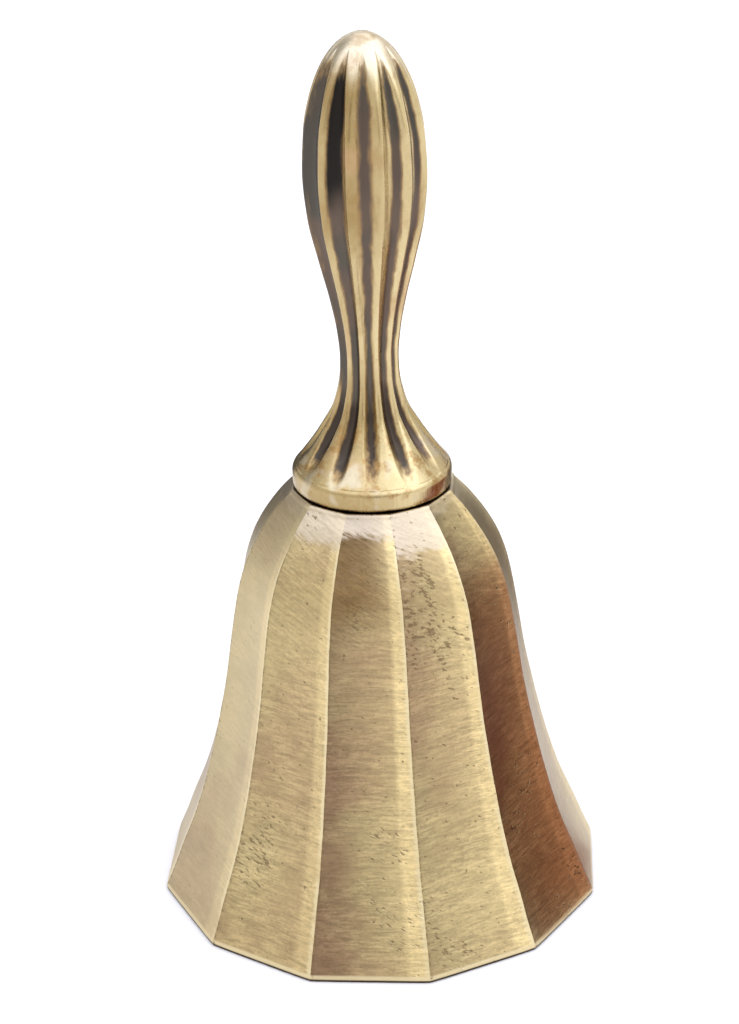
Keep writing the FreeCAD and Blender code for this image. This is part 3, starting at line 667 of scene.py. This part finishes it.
def patinated_brass():
    """The handle: polished ribs and band, dark patina in the flutes, painted light and shade."""
    s = Shader("patinated_handle_brass")
    # Heights in metres over which one look gives way to the next.
    neck_from, neck_end = (0.078, 0.084), (0.104, 0.096)
    dome_from, flecks_from, black_from = (0.1215, 0.1262), (0.117, 0.122), (0.101, 0.11)
    flare_from, flare_end = (0.069, 0.0725), (0.0795, 0.0765)
    stains_end, highlight_spots_end, shade_end = (0.0765, 0.0725), (0.0725, 0.0695), (0.06362, 0.06348)
    height = s.height()
    groove = s.attribute("groove")
    blotch = s.noise(230, detail=4, roughness=0.6, distortion=0.3)
    drift = s.noise(70, detail=2)
    streak = s.noise(1.0, s.stretched((1500, 1500, 120)), detail=2)
    # The ribs are paler towards the front right of the handle, painted light from that side, and
    # rubbed paler at the neck.
    rubbed_and_lit = s.plus(s.attribute("rubbed_and_lit"), s.sway(drift, 0.2))
    rubbed_and_lit = s.plus(rubbed_and_lit, s.sway(blotch, 0.1))
    neck = s.times(s.span(height, *neck_end), s.span(height, *neck_from))
    rubbed_and_lit = s.plus(rubbed_and_lit, s.times(neck, 0.42))
    bright = s.mix(s.span(rubbed_and_lit, 0, 1, smooth=False), RIB, RUBBED_AND_LIT_RIB)
    warm = s.span(s.noise(95, detail=2, distortion=0.3), 0.55, 0.68, 0, 0.5)
    bright = s.mix(warm, bright, COPPERY_RIB)
    # Painted highlight: the top of the dome is paler.
    dome = s.span(height, *dome_from, 0, 0.68)
    bright = s.mix(dome, bright, PALE_DOME_HIGHLIGHT)
    fleck = s.times(s.span(blotch, 0.5, 0.66), s.span(height, *flecks_from, 0, 0.5))
    bright = s.mix(fleck, bright, DOME_FLECK)
    # Brown fades out from the patina over the sides of the ribs.
    mark = s.plus(s.attribute("patina"), s.span(blotch, 0.25, 0.75, -0.16, 0.16))
    mark = s.plus(mark, s.sway(streak, 0.1))
    brown = s.span(mark, 0.05, 0.5, 0, 0.85)
    dark = s.span(mark, 0.25, 0.8)
    wandering = s.plus(height, s.sway(drift, 0.003))
    high = s.times(s.span(wandering, *black_from), s.attribute("black"))
    flare = s.times(s.span(wandering, *flare_end), s.span(wandering, *flare_from))
    worn = s.mix(s.span(drift, 0.42, 0.58), FLUTE_WARM, FLUTE_COOL)
    patina = s.mix(high, worn, FLUTE_BLACK)
    patina = s.mix(s.times(flare, 0.8), patina, FLARE_BLACK)
    colour = s.mix(brown, bright, FLUTE_BROWN)
    # Brown casting marks show low on the flare, between pale spots that are a painted highlight.
    stain = s.span(s.noise(420, detail=3, roughness=0.7), 0.5, 0.66)
    low = s.span(height, *stains_end, 0.2, 0.8)
    colour = s.mix(s.times(stain, low), colour, FLARE_STAIN)
    colour = s.mix(dark, colour, patina)
    # Painted highlight: pale spots low on the flare, away from the flutes.
    spots = s.span(s.noise(260, detail=2), 0.5, 0.65)
    pale_highlight = s.times(spots, s.times(s.span(height, *highlight_spots_end), s.span(groove, 0.6, 0.2)))
    colour = s.mix(s.times(pale_highlight, 0.7), colour, FLARE_HIGHLIGHT)
    # Painted shadow: a dark line where the band stands on the crown.
    under = s.span(height, *shade_end)
    colour = s.mix(under, colour, UNDER_BAND_SHADOW)
    rough = s.plus(s.span(streak, 0.3, 0.7, 0.22, 0.32), s.times(dark, 0.14))
    normal = s.bump(s.plus(blotch, s.times(streak, 0.4)), 0.3, 0.00015)
    return s.finish(colour, rough, normal, metallic=s.span(dark, 0, 1, 1.0, 0.85))


def dull_steel():
    """Plated steel of the stud, fasteners and clapper rod, lightly stained."""
    s = Shader("plated_steel")
    grain = s.noise(900, detail=3, roughness=0.6)
    stain = s.noise(300, detail=4, roughness=0.7, distortion=0.5)
    colour = s.mix(s.span(stain, 0.5, 0.72, 0, 0.8), STEEL, STEEL_STAIN)
    colour = s.mix(1.0, colour, s.grey(s.span(grain, 0.3, 0.7, 0.85, 1.1)), blend="MULTIPLY")
    return s.finish(colour, s.span(grain, 0.3, 0.7, 0.3, 0.48), s.bump(grain, 0.25, 0.00008))


def ball_brass():
    """The turned clapper ball: dull brass with a lathe's rings and some tarnish."""
    s = Shader("turned_ball_brass")
    rings = s.noise(1.0, s.stretched((60, 60, 3800)), detail=2)
    blotch = s.noise(260, detail=4, roughness=0.65)
    colour = s.mix(s.span(blotch, 0.35, 0.7), BALL_BRASS, BALL_TARNISH)
    colour = s.mix(1.0, colour, s.grey(s.span(rings, 0.3, 0.7, 0.85, 1.1)), blend="MULTIPLY")
    return s.finish(colour, s.span(blotch, 0.3, 0.7, 0.3, 0.45), s.bump(rings, 0.3, 0.0001))


# ------------------------------------------------------------------ pieces


bell = make_bell()
bell.data.materials.append(brushed_brass())
bell.data.materials.append(inside_brass())
# A face belongs to the inside's material when all its corners do.
inside = np.zeros(len(bell.data.vertices), np.float32)
bell.data.attributes["inside"].data.foreach_get("value", inside)
for face in bell.data.polygons:
    face.material_index = int(all(inside[v] > 0.75 for v in face.vertices))
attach(bell, "bell")
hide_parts("bell_body")

handle = make_handle()
handle.data.materials.append(patinated_brass())
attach(handle, "bell")
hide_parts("handle")

# The CAD's own meshes that are kept, with new materials.
steel = dull_steel()
kept_nodes = {node: steel for node in (
    "hanger_stud", "flat_washer", "spring_washer", "hinge_pin", "clapper_rod")}
kept_nodes["clapper_ball"] = ball_brass()
for node, material in kept_nodes.items():
    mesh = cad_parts[node].data
    mesh.materials.clear()
    mesh.materials.append(material)

# Node, body, slot, and the corner's radius, the bore's radius, the bottom and the top.
NUTS = [
    ("crown_nut", "bell", "fastener_steel", (4.6, 2.5, 54.0, 58.0)),
    ("clapper_nut", "clapper", "clapper_steel", (2.9, 1.25, 4.93, 6.73)),
]
for node, body, slot, sizes in NUTS:
    nut = make_nut(node + "_chamfered", *sizes)
    nut.data.materials.append(steel)
    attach(nut, body)
    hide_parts(node)


# ------------------------------------------------------------------ floor, light and camera


def make_floor():
    """A plain pale floor under the rim."""
    bpy.ops.mesh.primitive_plane_add(size=12)
    floor = bpy.context.object
    floor.name = "floor"
    s = Shader("pale_floor")
    floor.data.materials.append(s.finish((0.84, 0.81, 0.77, 1.0), 0.8, metallic=0.0))


def heading(azimuth, elevation=0.0):
    """A unit vector: azimuth 0 is towards the camera, 90 is to its right."""
    a, e = math.radians(azimuth + CAMERA_AZIMUTH), math.radians(elevation)
    return Vector((math.sin(a) * math.cos(e), -math.cos(a) * math.cos(e), math.sin(e)))


def make_card(name, lower, upper, colour):
    """A curved, leaning card by the bell that only its reflections show.

    lower and upper are its two edges, each as the azimuths it runs between, its metres from
    the bell's axis and its metres above the floor.
    """
    steps = 9
    vertices = [heading(turn) * reach + Vector((0, 0, z))
                for start, end, reach, z in (lower, upper)
                for turn in np.linspace(start, end, steps)]
    faces = [(i, i + 1, i + 1 + steps, i + steps) for i in range(steps - 1)]
    mesh = bpy.data.meshes.new(name)
    mesh.from_pydata(vertices, [], faces)
    card = bpy.data.objects.new(name, mesh)
    bpy.context.scene.collection.objects.link(card)
    material = bpy.data.materials.new(name)
    material.use_nodes = True
    nodes = material.node_tree.nodes
    nodes.clear()
    glow = nodes.new("ShaderNodeEmission")
    glow.inputs["Color"].default_value = (*colour, 1)
    out = nodes.new("ShaderNodeOutputMaterial")
    material.node_tree.links.new(glow.outputs[0], out.inputs["Surface"])
    card.data.materials.append(material)
    card.visible_camera = False
    card.visible_diffuse = False
    card.visible_shadow = False


def make_world():
    """A pale studio. The camera sees plain white; the metal sees a room with soft light."""
    world = bpy.data.worlds.new("studio")
    bpy.context.scene.world = world
    world.use_nodes = True
    tree = world.node_tree
    tree.nodes.clear()

    def add(kind, **settings):
        node = tree.nodes.new(kind)
        for key, value in settings.items():
            setattr(node, key, value)
        return node

    place = add("ShaderNodeTexCoord").outputs["Generated"]
    room = None
    for azimuth, elevation, inner, outer, colour in STUDIO:
        dot = add("ShaderNodeVectorMath", operation="DOT_PRODUCT")
        tree.links.new(place, dot.inputs[0])
        dot.inputs[1].default_value = heading(azimuth, elevation)
        share = add("ShaderNodeMapRange", interpolation_type="SMOOTHSTEP")
        tree.links.new(dot.outputs["Value"], share.inputs["Value"])
        share.inputs["From Min"].default_value = math.cos(math.radians(outer))
        share.inputs["From Max"].default_value = math.cos(math.radians(inner))
        mix = add("ShaderNodeMix", data_type="RGBA")
        tree.links.new(share.outputs["Result"], mix.inputs["Factor"])
        below, above = [socket for socket in mix.inputs if socket.type == "RGBA"]
        below.default_value = (*ROOM_COLOUR, 1)
        above.default_value = (*colour, 1)
        if room is not None:
            tree.links.new(room, below)
        room = next(socket for socket in mix.outputs if socket.type == "RGBA")
    lit = add("ShaderNodeBackground")
    plain = add("ShaderNodeBackground")
    path = add("ShaderNodeLightPath")
    mixer = add("ShaderNodeMixShader")
    out = add("ShaderNodeOutputWorld")
    plain.inputs["Color"].default_value = (1, 1, 1, 1)
    tree.links.new(room, lit.inputs["Color"])
    tree.links.new(path.outputs["Is Camera Ray"], mixer.inputs[0])
    tree.links.new(lit.outputs[0], mixer.inputs[1])
    tree.links.new(plain.outputs[0], mixer.inputs[2])
    tree.links.new(mixer.outputs[0], out.inputs["Surface"])


def make_camera():
    """A long lens above and in front, a little towards +X."""
    azimuth, yaw = math.radians(CAMERA_AZIMUTH), math.radians(-0.09)
    pitch, roll = math.radians(25.18), math.radians(-1.46)
    distance, height = 0.3356, 0.2163
    place = Vector((distance * math.sin(azimuth), -distance * math.cos(azimuth), height))
    turn = yaw - azimuth
    ahead = Vector((math.sin(turn) * math.cos(pitch), math.cos(turn) * math.cos(pitch),
                    -math.sin(pitch)))
    level = ahead.cross(Vector((0, 0, 1))).normalized()
    upright = level.cross(ahead)
    right = level * math.cos(roll) + upright * math.sin(roll)
    up = upright * math.cos(roll) - level * math.sin(roll)
    data = bpy.data.cameras.new("camera")
    data.sensor_width = 36
    data.lens = 91.4
    data.clip_start, data.clip_end = 0.01, 50
    camera = bpy.data.objects.new("camera", data)
    camera.matrix_world = Matrix((
        (right.x, up.x, -ahead.x, place.x),
        (right.y, up.y, -ahead.y, place.y),
        (right.z, up.z, -ahead.z, place.z),
        (0, 0, 0, 1),
    ))
    bpy.context.scene.collection.objects.link(camera)
    bpy.context.scene.camera = camera


CARDS = [
    ("warm_card", (47, 94, 0.0345, 0.0003), (78, 120, 0.075, 0.058), (0.345, 0.128, 0.082)),
    ("grey_card", (124, 156, 0.098, 0.0005), (124, 156, 0.105, 0.066), (0.22, 0.20, 0.17)),
    ("dark_card", (-182, -138, 0.16, 0.0005), (-182, -138, 0.16, 0.125), (0.10, 0.10, 0.095)),
]

make_floor()
make_world()
for card in CARDS:
    make_card(*card)
make_camera()
bpy.context.scene.view_settings.view_transform = "Standard"
